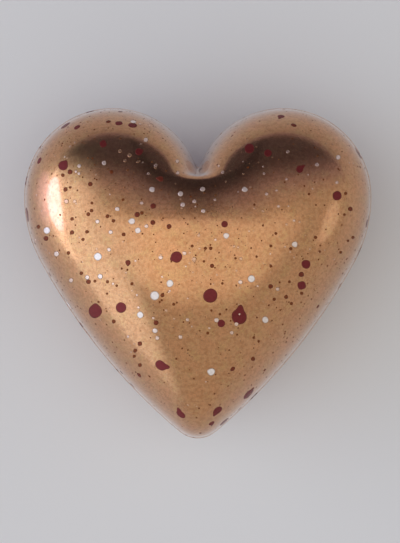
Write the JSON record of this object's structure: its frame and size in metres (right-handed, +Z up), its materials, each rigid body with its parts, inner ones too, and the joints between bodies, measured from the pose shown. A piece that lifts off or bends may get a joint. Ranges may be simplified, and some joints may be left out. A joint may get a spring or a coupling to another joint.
{
  "type": "chocolate heart",
  "caption": "Large puffed chocolate heart with a gold lustre coat, splashed with burgundy and white cocoa butter, lying on its back.",
  "frame": {"origin": "under the middle of the heart's box, on the surface that it lies on", "axes": "+X across both lobes, +Y from the point towards the lobes, +Z up, out of the heart's front face"},
  "size_m": [0.1048, 0.0998, 0.0633],
  "materials": {
    "gold_lustre": "semi-gloss chocolate under a copper-gold lustre coat",
    "burgundy_cocoa_butter": "semi-gloss coloured cocoa butter",
    "white_cocoa_butter": "semi-gloss coloured cocoa butter"
  },
  "bodies": {
    "root": {"heart": "gold_lustre"}
  },
  "joints": []
}
